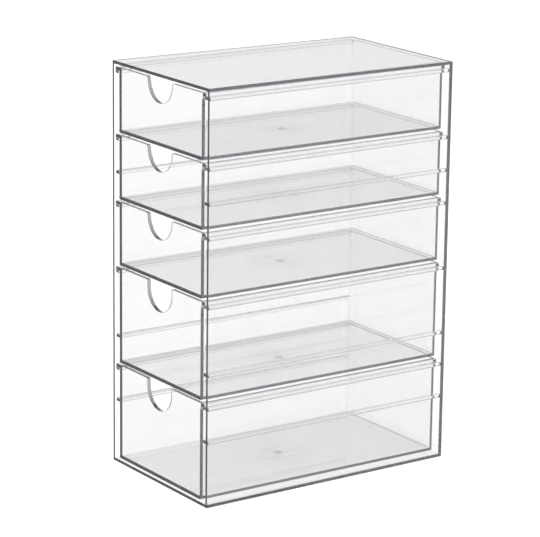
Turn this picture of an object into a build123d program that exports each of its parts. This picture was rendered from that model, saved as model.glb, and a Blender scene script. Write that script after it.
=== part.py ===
from build123d import *
from math import cos, radians, sin, tan
import os

# A clear drawer tower for cosmetics: one moulded case, open at the front, and five
# moulded drawers that hang from rails on its side walls by their rim flanges.
# The origin is the middle of the case's underside, drawers open towards -Y, +Z is up.
# All lengths are in millimetres.

# ---- case ----
case_width = 140.0
case_depth = 233.0
case_wall = 2.5
case_floor = 2.5
case_roof = 2.5
side_draft = 0.5  # degrees that each side wall leans in towards the back
roof_draft = 0.3  # degrees that the roof falls towards the back
case_back_radius = 1.2
case_foot_radius = 1.0
case_roof_radius = 0.5
case_inside_radius = 0.8
case_mouth_radius = 0.4

# ---- drawers ----
small_drawer_height = 52.2
small_drawer_count = 3
large_drawer_count = 2
drawer_front = 3.2
drawer_wall = 1.6
drawer_floor = 2.0
drawer_back_radius = 1.2
drawer_foot_radius = 1.0
front_edge_radius = 0.5
inside_corner_radius = 1.0
inside_floor_radius = 0.8
rim_edge_radius = 0.4

# ---- finger notch in each drawer front ----
notch_radius = 17.2
small_notch_depth = 18.4
large_notch_depth = 22.6
notch_entry_radius = 1.8

# ---- moulding gate mark under each drawer floor ----
gate_recess_radius = 3.8
gate_recess_depth = 0.5
gate_stub_radius = 1.2
gate_stub_height = 0.3

# ---- rim flanges and the rails that carry them ----
flange_thickness = 2.6
flange_back_radius = 1.2
rail_thickness = 2.5
rail_edge_radius = 0.5
rail_setback = 1.9  # the rails begin this far behind the case's front
rail_overlap = 1.6  # least width of flange that lies over a rail
stop_drop = 2.2  # the lip that meets the rail's end hangs this far below the flange

# ---- clearances ----
drawer_gap = 2.0  # from one drawer's floor down to the rim of the next
roof_gap = 1.9
floor_gap = 1.9
side_gap = 7.4  # from the case's wall, at its front, to the drawer's side
back_gap = 2.6
flange_gap = 2.5
rail_gap = 0.3
stop_gap = 0.3

# ---- sizes that follow ----
# The case takes six small drawers, four large ones, or a mix, so it has a rail for each:
# a large drawer is one and a half small ones tall.
small_slots = 6
large_step = 1.5
large_slots = 4
rail_pitch = small_drawer_height + drawer_gap
large_drawer_height = large_step * rail_pitch - drawer_gap
rail_slots = sorted({float(n) for n in range(small_slots)} | {large_step * n for n in range(large_slots)})
stack_height = small_slots * rail_pitch - drawer_gap
case_height = case_floor + floor_gap + stack_height + roof_gap + case_roof

case_front_y = -case_depth / 2
case_back_y = case_depth / 2
drawer_front_y = case_front_y
drawer_back_y = case_back_y - case_wall - back_gap
drawer_middle_y = (drawer_front_y + drawer_back_y) / 2
drawer_half_width = case_width / 2 - case_wall - side_gap
top_rim_z = case_height - case_roof - roof_gap
rail_front_y = case_front_y + rail_setback
notch_reach = notch_radius + notch_entry_radius


def case_half_width(y):
    """Half the case's outside width at a distance along its depth."""
    return case_width / 2 - (y - case_front_y) * tan(radians(side_draft))


def flange_half_width(y):
    """Half the width across a drawer's flanges, which follow the case's walls."""
    return case_half_width(y) - case_wall - flange_gap


rail_inner_x = flange_half_width(drawer_back_y) - rail_overlap


def tapered_plan(half_width, front_y, back_y):
    """A plan between two depths, as wide at each as half_width says."""
    with BuildSketch() as plan:
        with BuildLine():
            Polyline(
                (-half_width(front_y), front_y),
                (half_width(front_y), front_y),
                (half_width(back_y), back_y),
                (-half_width(back_y), back_y),
                close=True,
            )
        make_face()
    return plan.sketch


def drafted_block(side, floor, roof, back, back_radius, foot_radius, roof_radius):
    """The case's outside, or the same shape inset by its walls for the hollow."""
    plan = tapered_plan(lambda y: case_half_width(y) - side, case_front_y, case_back_y - back)
    slope = radians(roof_draft)
    roof_plane = Plane((0, case_front_y, case_height - roof), z_dir=(0, sin(slope), cos(slope)))
    with BuildPart() as block:
        with BuildSketch(Plane.XY.offset(floor)):
            add(plan)
        extrude(amount=case_height + case_roof)
        split(bisect_by=roof_plane, keep=Keep.BOTTOM)
        back_face = block.faces().sort_by(Axis.Y)[-1]
        fillet(back_face.edges().filter_by(Axis.Z), back_radius)
        if foot_radius:
            foot = block.faces().sort_by(Axis.Z)[0]
            fillet(foot.edges().sort_by(Axis.Y)[1:], foot_radius)
        if roof_radius:
            roof_face = block.faces().sort_by(Axis.Z)[-1]
            fillet(roof_face.edges().sort_by(Axis.Y)[1:], roof_radius)
    return block.part


def rail_bottom(slot):
    """Height of a rail's underside, counted in slots below the top drawer's rim."""
    rim_z = top_rim_z - slot * rail_pitch
    return rim_z - flange_thickness - rail_gap - rail_thickness


def make_rails():
    """The rails on both side walls, reaching halfway into the walls that carry them."""
    buried = case_wall / 2
    wall_middle = drafted_block(buried, buried, buried, buried, case_inside_radius, 0, 0)
    reach = case_width / 2 - rail_inner_x
    with BuildPart() as rails:
        with BuildSketch(*[Plane.XY.offset(rail_bottom(slot)) for slot in rail_slots]):
            with Locations((rail_inner_x, rail_front_y)):
                Rectangle(reach, case_back_y - rail_front_y, align=(Align.MIN, Align.MIN))
            mirror(about=Plane.YZ)
        extrude(amount=rail_thickness)
        sides = rails.faces().filter_by(Axis.X)
        inner_sides = sides.filter_by_position(Axis.X, -rail_inner_x - reach / 2, rail_inner_x + reach / 2)
        fillet(inner_sides.edges().filter_by(Axis.Y), rail_edge_radius)
        add(wall_middle, mode=Mode.INTERSECT)
    return rails.part


def make_case():
    """The one-piece case with its rails."""
    outside = drafted_block(0, 0, 0, 0, case_back_radius, case_foot_radius, case_roof_radius)
    hollow = drafted_block(case_wall, case_floor, case_roof, case_wall, case_inside_radius, 0, 0)
    rails = make_rails()
    with BuildPart() as case:
        add(outside)
        add(hollow, mode=Mode.SUBTRACT)
        add(rails)
        mouth = case.faces().sort_by(Axis.Y)[0]
        fillet(mouth.edges(), case_mouth_radius)
    return case.part


def drawer_hollow(rim_z, height):
    """The space inside a drawer, rounded at its corners and along its floor."""
    half_width = drawer_half_width - drawer_wall
    front_y = drawer_front_y + drawer_front
    back_y = drawer_back_y - drawer_wall
    with BuildPart() as hollow:
        with BuildSketch(Plane.XY.offset(rim_z - height + drawer_floor)):
            with Locations((0, (front_y + back_y) / 2)):
                RectangleRounded(2 * half_width, back_y - front_y, inside_corner_radius)
        extrude(amount=height - drawer_floor)
        fillet(hollow.faces().sort_by(Axis.Z)[0].edges(), inside_floor_radius)
    return hollow.part


def upper_edges(drawer, y, rim_z):
    """The straight top edges and the notch's edges of the drawer front's side at y."""
    upright_faces = drawer.faces().filter_by(Axis.Y)
    edges = upright_faces.sort_by(lambda face: abs(face.center().Y - y))[0].edges()
    straight = edges.filter_by(Axis.X).group_by(Axis.Z)[-1]
    notch = edges.filter_by_position(Axis.Z, rim_z - 2 * notch_radius, rim_z)
    return straight + notch.filter_by_position(Axis.X, -notch_reach, notch_reach)


def make_drawer(rim_z, height, notch_depth):
    """A drawer whose rim lies at a height, with flanges, stop lips and finger notch."""
    hollow = drawer_hollow(rim_z, height)
    depth = drawer_back_y - drawer_front_y
    lip_back_y = rail_front_y - stop_gap
    flange_plan = tapered_plan(flange_half_width, drawer_front_y, drawer_back_y)
    with BuildPart() as drawer:
        with BuildSketch(Plane.XY.offset(rim_z - height)) as plan:
            with Locations((0, drawer_middle_y)):
                Rectangle(2 * drawer_half_width, depth)
            fillet(plan.vertices().group_by(Axis.Y)[-1], drawer_back_radius)
        extrude(amount=height)
        fillet(drawer.faces().sort_by(Axis.Z)[0].edges().sort_by(Axis.Y)[1:], drawer_foot_radius)
        front_edges = drawer.faces().sort_by(Axis.Y)[0].edges()
        fillet(front_edges.sort_by(Axis.Z)[:-1], front_edge_radius)
        with BuildSketch(Plane.XY.offset(rim_z - flange_thickness)) as flanges:
            add(flange_plan)
            fillet(flanges.vertices().group_by(Axis.Y)[-1], flange_back_radius)
        extrude(amount=flange_thickness)
        with BuildSketch(Plane.XY.offset(rim_z - flange_thickness - stop_drop)):
            with Locations((0, drawer_front_y)):
                Rectangle(
                    2 * flange_half_width(lip_back_y),
                    lip_back_y - drawer_front_y,
                    align=(Align.CENTER, Align.MIN),
                )
        extrude(amount=stop_drop)
        add(hollow, mode=Mode.SUBTRACT)
        with BuildSketch(Plane.XZ.offset(-drawer_front_y)):
            with Locations((0, rim_z - notch_depth + notch_radius)):
                Circle(notch_radius)
                Rectangle(2 * notch_radius, notch_depth, align=(Align.CENTER, Align.MIN))
        extrude(amount=-drawer_front, mode=Mode.SUBTRACT)
        rim = drawer.faces().sort_by(Axis.Z)[-1]
        notch_corners = rim.edges().filter_by(Axis.Y).filter_by_position(Axis.X, -notch_reach, notch_reach)
        fillet(notch_corners, notch_entry_radius)
        fillet(upper_edges(drawer, drawer_front_y, rim_z), rim_edge_radius)
        fillet(upper_edges(drawer, drawer_front_y + drawer_front, rim_z), rim_edge_radius)
        with BuildSketch(Plane.XY.offset(rim_z - height)):
            with Locations((0, drawer_middle_y)):
                Circle(gate_recess_radius)
                Circle(gate_stub_radius, mode=Mode.SUBTRACT)
        extrude(amount=gate_recess_depth, mode=Mode.SUBTRACT)
        with BuildSketch(Plane.XY.offset(rim_z - height)):
            with Locations((0, drawer_middle_y)):
                Circle(gate_stub_radius)
        extrude(amount=gate_recess_depth - gate_stub_height, mode=Mode.SUBTRACT)
    return drawer.part


def export(piece, name):
    """Label a finished piece and write its file."""
    piece.label = name
    export_step(piece, f"parts/{name}.step")


os.makedirs("parts", exist_ok=True)
export(make_case(), "case")

for number in range(small_drawer_count):
    rim = top_rim_z - number * rail_pitch
    export(make_drawer(rim, small_drawer_height, small_notch_depth), f"small_drawer_{number + 1}")

for number in range(large_drawer_count):
    rim = top_rim_z - (small_drawer_count + large_step * number) * rail_pitch
    export(make_drawer(rim, large_drawer_height, large_notch_depth), f"large_drawer_{number + 1}")
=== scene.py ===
import math

import bpy
from mathutils import Matrix, Vector


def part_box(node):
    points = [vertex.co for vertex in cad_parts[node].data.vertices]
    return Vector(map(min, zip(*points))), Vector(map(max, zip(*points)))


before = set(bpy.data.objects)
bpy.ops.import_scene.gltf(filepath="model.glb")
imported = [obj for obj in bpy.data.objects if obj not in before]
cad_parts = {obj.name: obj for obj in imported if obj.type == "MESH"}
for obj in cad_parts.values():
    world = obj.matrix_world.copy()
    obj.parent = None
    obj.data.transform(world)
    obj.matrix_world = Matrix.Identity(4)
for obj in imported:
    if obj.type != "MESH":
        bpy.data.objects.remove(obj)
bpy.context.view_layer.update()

# ---- camera, fitted to the case's corners in the photograph ----
image_width = 540.0
camera_azimuth = math.radians(55.374)
camera_elevation = math.radians(14.774)
camera_roll = math.radians(0.725)
camera_distance = 2.1752
camera_slide = -0.00936
camera_lift = -0.00436
focal_pixels = 2695.8
sensor_width = 36.0
nearest_view = 0.01
farthest_view = 100

# ---- clear plastic, lengths in metres ----
plastic_ior = 1.59
absorption_density = 76.0
case_tint = (1.0, 1.0, 1.0)
worn_case_tint = (0.992, 0.992, 0.996)
case_depth_tint = (0.872, 0.870, 0.880)
drawer_tint = (1.0, 1.0, 1.0)
worn_drawer_tint = (0.990, 0.990, 0.995)
drawer_depth_tint = (0.868, 0.866, 0.876)
# painted shade: grey that darkens each drawer floor around the gate
flow_patch_painted_shade_tint = (0.87, 0.87, 0.885)
# painted shade: grey that darkens the gate mark in the middle of each drawer floor
gate_mark_painted_shade_tint = (0.72, 0.72, 0.74)

# ---- waves, hairlines and haze of its surface ----
wave_length = 0.045
wave_height = 0.00005
wave_detail = 2.0
hairline_length = 0.05
hairline_width = 0.0006
hairline_depth = 0.000001
hairline_roughness = 0.03
hairline_turns = ((0.3, 0.2, 0.5), (-0.9, 0.4, -0.7))
hairline_grain = (0.74, 0.80)
haze_patch = 0.02
haze_detail = 4.0
haze_grain = (0.5, 0.8)
haze_roughness = 0.008
worn_grain = (0.4, 0.7)

# ---- flow marks and painted shade around the gate, in the middle of each drawer's floor ----
gate_place = (0.0, -0.00255, 0.0)
gate_edge = 0.0038
gate_core = 0.7 * gate_edge
ring_spacing = 0.0035
ring_height = 0.000004
ring_reach = 0.032
ring_wobble = 2 * ring_spacing
ring_wobble_patch = 0.02
ring_wobble_detail = 1.0
haze_and_shade_reach = 0.042
blush_roughness = 0.04
haze_and_shade_streak = (0.006, 0.02, 0.006)
haze_and_shade_detail = 2.0
haze_and_shade_grain = (0.3, 0.7)
haze_and_shade_least = 0.2

# ---- studio ----
floor_size = 60.0
floor_drop = 0.0002
floor_grey = 0.12
floor_glow = 1.1
floor_roughness = 0.9
backdrop_strength = 1.18
room_right = 0.675
room_left = 0.765
room_turn = (0.1, -0.3)
room_top = 0.4
room_top_rise = (0.5, 0.8)
light_bounces = 100


def add_camera():
    """The photograph's viewpoint, aimed at the middle of the case."""
    sin_az, cos_az = math.sin(camera_azimuth), math.cos(camera_azimuth)
    sin_el, cos_el = math.sin(camera_elevation), math.cos(camera_elevation)
    back = Vector((sin_az * cos_el, -cos_az * cos_el, sin_el))
    level_right = Vector((cos_az, sin_az, 0))
    level_up = back.cross(level_right)
    right = level_right * math.cos(camera_roll) + level_up * math.sin(camera_roll)
    up = level_up * math.cos(camera_roll) - level_right * math.sin(camera_roll)
    case_low, case_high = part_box("case")
    aim = Vector((0, 0, (case_low.z + case_high.z) / 2))
    camera = bpy.data.cameras.new("camera")
    camera.sensor_fit = "HORIZONTAL"
    camera.sensor_width = sensor_width
    camera.lens = focal_pixels * sensor_width / image_width
    camera.clip_start = nearest_view
    camera.clip_end = farthest_view
    holder = bpy.data.objects.new("camera", camera)
    bpy.context.scene.collection.objects.link(holder)
    place = aim + back * camera_distance + right * camera_slide + up * camera_lift
    holder.matrix_world = Matrix.Translation(place) @ Matrix((right, up, back)).transposed().to_4x4()
    bpy.context.scene.camera = holder


def dress(node, material):
    """Gives a CAD node's slots a better material."""
    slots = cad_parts[node].material_slots
    for slot in slots:
        slot.material = material


def math_node(tree, operation, first, second):
    """One arithmetic step between two sockets or numbers."""
    node = tree.nodes.new("ShaderNodeMath")
    node.operation = operation
    for socket, value in zip(node.inputs, (first, second)):
        if isinstance(value, bpy.types.NodeSocket):
            tree.links.new(value, socket)
        else:
            socket.default_value = value
    return node.outputs["Value"]


def mirrored(tree):
    """1 for a ray that the plastic has turned back at least once, otherwise 0."""
    path = tree.nodes.new("ShaderNodeLightPath")
    return math_node(tree, "GREATER_THAN", path.outputs["Glossy Depth"], 0.5)


def blend_value(tree, factor, first, second):
    """A number that goes from first to second with factor."""
    node = tree.nodes.new("ShaderNodeMix")
    tree.links.new(factor, node.inputs["Factor"])
    for name, value in (("A", first), ("B", second)):
        if isinstance(value, bpy.types.NodeSocket):
            tree.links.new(value, node.inputs[name])
        else:
            node.inputs[name].default_value = value
    return node.outputs["Result"]


def map_value(tree, value, between, to_low, to_high):
    """A smooth step from to_low to to_high while the number goes between two others."""
    node = tree.nodes.new("ShaderNodeMapRange")
    node.interpolation_type = "SMOOTHSTEP"
    tree.links.new(value, node.inputs["Value"])
    node.inputs["From Min"].default_value = between[0]
    node.inputs["From Max"].default_value = between[1]
    node.inputs["To Min"].default_value = to_low
    node.inputs["To Max"].default_value = to_high
    return node.outputs["Result"]


def noise_value(tree, place, wavelengths, detail):
    """Cloudy noise from 0 to 1 whose grain has a length along each axis."""
    stretch = tree.nodes.new("ShaderNodeVectorMath")
    stretch.operation = "DIVIDE"
    tree.links.new(place, stretch.inputs[0])
    stretch.inputs[1].default_value = wavelengths
    node = tree.nodes.new("ShaderNodeTexNoise")
    node.inputs["Scale"].default_value = 1.0
    node.inputs["Detail"].default_value = detail
    tree.links.new(stretch.outputs["Vector"], node.inputs["Vector"])
    return node.outputs["Fac"]


def hairlines(tree, place, turn):
    """1 along sparse fine scratches that run at an angle, 0 between them."""
    turned = tree.nodes.new("ShaderNodeVectorRotate")
    turned.rotation_type = "EULER_XYZ"
    turned.inputs["Rotation"].default_value = turn
    tree.links.new(place, turned.inputs["Vector"])
    sizes = (hairline_width, hairline_length, hairline_width)
    grain = noise_value(tree, turned.outputs["Vector"], sizes, 0.0)
    return map_value(tree, grain, hairline_grain, 0.0, 1.0)


def gate_distance(tree, place):
    """Distance, seen from above, from the gate in the middle of a drawer."""
    offset = tree.nodes.new("ShaderNodeVectorMath")
    offset.operation = "SUBTRACT"
    tree.links.new(place, offset.inputs[0])
    offset.inputs[1].default_value = gate_place
    flat = tree.nodes.new("ShaderNodeVectorMath")
    flat.operation = "MULTIPLY"
    tree.links.new(offset.outputs["Vector"], flat.inputs[0])
    flat.inputs[1].default_value = (1, 1, 0)
    distance = tree.nodes.new("ShaderNodeVectorMath")
    distance.operation = "LENGTH"
    tree.links.new(flat.outputs["Vector"], distance.inputs[0])
    return distance.outputs["Value"]


def gate_rings(tree, place, radius):
    """Flow rings that fade away from the gate."""
    wobble = noise_value(tree, place, [ring_wobble_patch] * 3, ring_wobble_detail)
    bent = math_node(tree, "ADD", radius, math_node(tree, "MULTIPLY", wobble, ring_wobble))
    wave = math_node(tree, "SINE", math_node(tree, "MULTIPLY", bent, math.tau / ring_spacing), 0.0)
    fade = map_value(tree, radius, (0.0, ring_reach), 1.0, 0.0)
    return math_node(tree, "MULTIPLY", wave, fade)


def gate_haze_and_painted_shade(tree, place, radius):
    """The cloudy patch around the gate, 1 at its middle and 0 beyond its reach; it adds flow haze to
    roughness and painted shade to colour.
    """
    smear = noise_value(tree, place, haze_and_shade_streak, haze_and_shade_detail)
    fade = map_value(tree, radius, (0.0, haze_and_shade_reach), 1.0, 0.0)
    return math_node(tree, "MULTIPLY", fade, map_value(tree, smear, haze_and_shade_grain, haze_and_shade_least, 1.0))


def mix_colour(tree, factor, first, second):
    """A colour that goes from first to second with factor."""
    node = tree.nodes.new("ShaderNodeMix")
    node.data_type = "RGBA"
    tree.links.new(factor, node.inputs["Factor"])
    for name, value in (("A", first), ("B", second)):
        if isinstance(value, bpy.types.NodeSocket):
            tree.links.new(value, node.inputs[name])
        else:
            node.inputs[name].default_value = (*value, 1)
    return node.outputs["Result"]


def clear_plastic(name, tint, worn_tint, depth_tint, gate):
    """Polished clear moulded plastic with flow waves, hairlines and faint haze; with a gate, also flow
    rings, and painted shade that greys the floor around the gate and darkens the gate mark.
    """
    material = bpy.data.materials.new(name)
    material.use_nodes = True
    tree = material.node_tree
    shader = tree.nodes["Principled BSDF"]
    shader.inputs["IOR"].default_value = plastic_ior
    shader.inputs["Transmission Weight"].default_value = 1.0
    place = tree.nodes.new("ShaderNodeTexCoord").outputs["Object"]
    waves = noise_value(tree, place, [wave_length] * 3, wave_detail)
    scratches = math_node(tree, "MAXIMUM", *[hairlines(tree, place, turn) for turn in hairline_turns])
    height = math_node(tree, "MULTIPLY", waves, wave_height)
    height = math_node(tree, "SUBTRACT", height, math_node(tree, "MULTIPLY", scratches, hairline_depth))
    clouds = noise_value(tree, place, [haze_patch] * 3, haze_detail)
    haze = map_value(tree, clouds, haze_grain, 0.0, haze_roughness)
    scuffs = math_node(tree, "MULTIPLY", scratches, hairline_roughness)
    roughness = math_node(tree, "ADD", haze, scuffs)
    colour = mix_colour(tree, map_value(tree, clouds, worn_grain, 0.0, 1.0), tint, worn_tint)
    if gate:
        radius = gate_distance(tree, place)
        rings = math_node(tree, "MULTIPLY", gate_rings(tree, place, radius), ring_height)
        height = math_node(tree, "ADD", height, rings)
        haze_and_painted_shade = gate_haze_and_painted_shade(tree, place, radius)
        roughness = math_node(tree, "ADD", roughness, math_node(tree, "MULTIPLY", haze_and_painted_shade, blush_roughness))
        # painted shade: greys the drawer floor around the gate; the roughness above is the flow haze
        colour = mix_colour(tree, haze_and_painted_shade, colour, flow_patch_painted_shade_tint)
        # painted shade: darkens the gate mark, fading out from gate_core to gate_edge
        painted_gate_shade = map_value(tree, radius, (gate_core, gate_edge), 1.0, 0.0)
        colour = mix_colour(tree, painted_gate_shade, colour, gate_mark_painted_shade_tint)
    relief = tree.nodes.new("ShaderNodeBump")
    relief.inputs["Distance"].default_value = 1.0
    tree.links.new(height, relief.inputs["Height"])
    tree.links.new(relief.outputs["Normal"], shader.inputs["Normal"])
    tree.links.new(roughness, shader.inputs["Roughness"])
    tree.links.new(colour, shader.inputs["Base Color"])
    absorption = tree.nodes.new("ShaderNodeVolumeAbsorption")
    absorption.inputs["Color"].default_value = (*depth_tint, 1)
    absorption.inputs["Density"].default_value = absorption_density
    output = tree.nodes["Material Output"]
    tree.links.new(absorption.outputs["Volume"], output.inputs["Volume"])
    return material


def add_floor():
    """The white floor, which rays that the plastic has turned back do not see."""
    mesh = bpy.data.meshes.new("floor")
    half = floor_size / 2
    signs = ((-1, -1), (1, -1), (1, 1), (-1, 1))
    corners = [(x * half, y * half, -floor_drop) for x, y in signs]
    mesh.from_pydata(corners, [], [(0, 1, 2, 3)])
    floor = bpy.data.objects.new("floor", mesh)
    bpy.context.scene.collection.objects.link(floor)
    material = bpy.data.materials.new("floor")
    material.use_nodes = True
    tree = material.node_tree
    shader = tree.nodes["Principled BSDF"]
    shader.inputs["Base Color"].default_value = (floor_grey, floor_grey, floor_grey, 1)
    shader.inputs["Emission Color"].default_value = (1, 1, 1, 1)
    shader.inputs["Emission Strength"].default_value = floor_glow
    shader.inputs["Roughness"].default_value = floor_roughness
    shader.inputs["Specular IOR Level"].default_value = 0.0
    gone = tree.nodes.new("ShaderNodeBsdfTransparent")
    mix = tree.nodes.new("ShaderNodeMixShader")
    tree.links.new(mirrored(tree), mix.inputs["Fac"])
    tree.links.new(shader.outputs[0], mix.inputs[1])
    tree.links.new(gone.outputs[0], mix.inputs[2])
    tree.links.new(mix.outputs[0], tree.nodes["Material Output"].inputs["Surface"])
    mesh.materials.append(material)


def add_studio():
    """A white backdrop, and the greyer room that shows in the plastic's reflections."""
    world = bpy.data.worlds.new("studio")
    bpy.context.scene.world = world
    world.use_nodes = True
    tree = world.node_tree
    background = tree.nodes["Background"]
    background.inputs["Color"].default_value = (1, 1, 1, 1)
    direction = tree.nodes.new("ShaderNodeTexCoord")
    parts = tree.nodes.new("ShaderNodeSeparateXYZ")
    tree.links.new(direction.outputs["Generated"], parts.inputs[0])
    sideways = map_value(tree, parts.outputs["X"], room_turn, room_right, room_left)
    overhead = map_value(tree, parts.outputs["Z"], room_top_rise, 0.0, room_top)
    room = math_node(tree, "ADD", sideways, overhead)
    strength = blend_value(tree, mirrored(tree), backdrop_strength, room)
    tree.links.new(strength, background.inputs["Strength"])
    scene = bpy.context.scene
    scene.view_settings.view_transform = "Standard"
    scene.cycles.use_denoising = True
    scene.cycles.max_bounces = light_bounces
    scene.cycles.transmission_bounces = light_bounces
    scene.cycles.glossy_bounces = light_bounces


add_camera()
add_floor()
add_studio()
case_plastic = clear_plastic("clear_case", case_tint, worn_case_tint, case_depth_tint, False)
drawer_plastic = clear_plastic("clear_drawer", drawer_tint, worn_drawer_tint, drawer_depth_tint, True)
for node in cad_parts:
    dress(node, case_plastic if node == "case" else drawer_plastic)
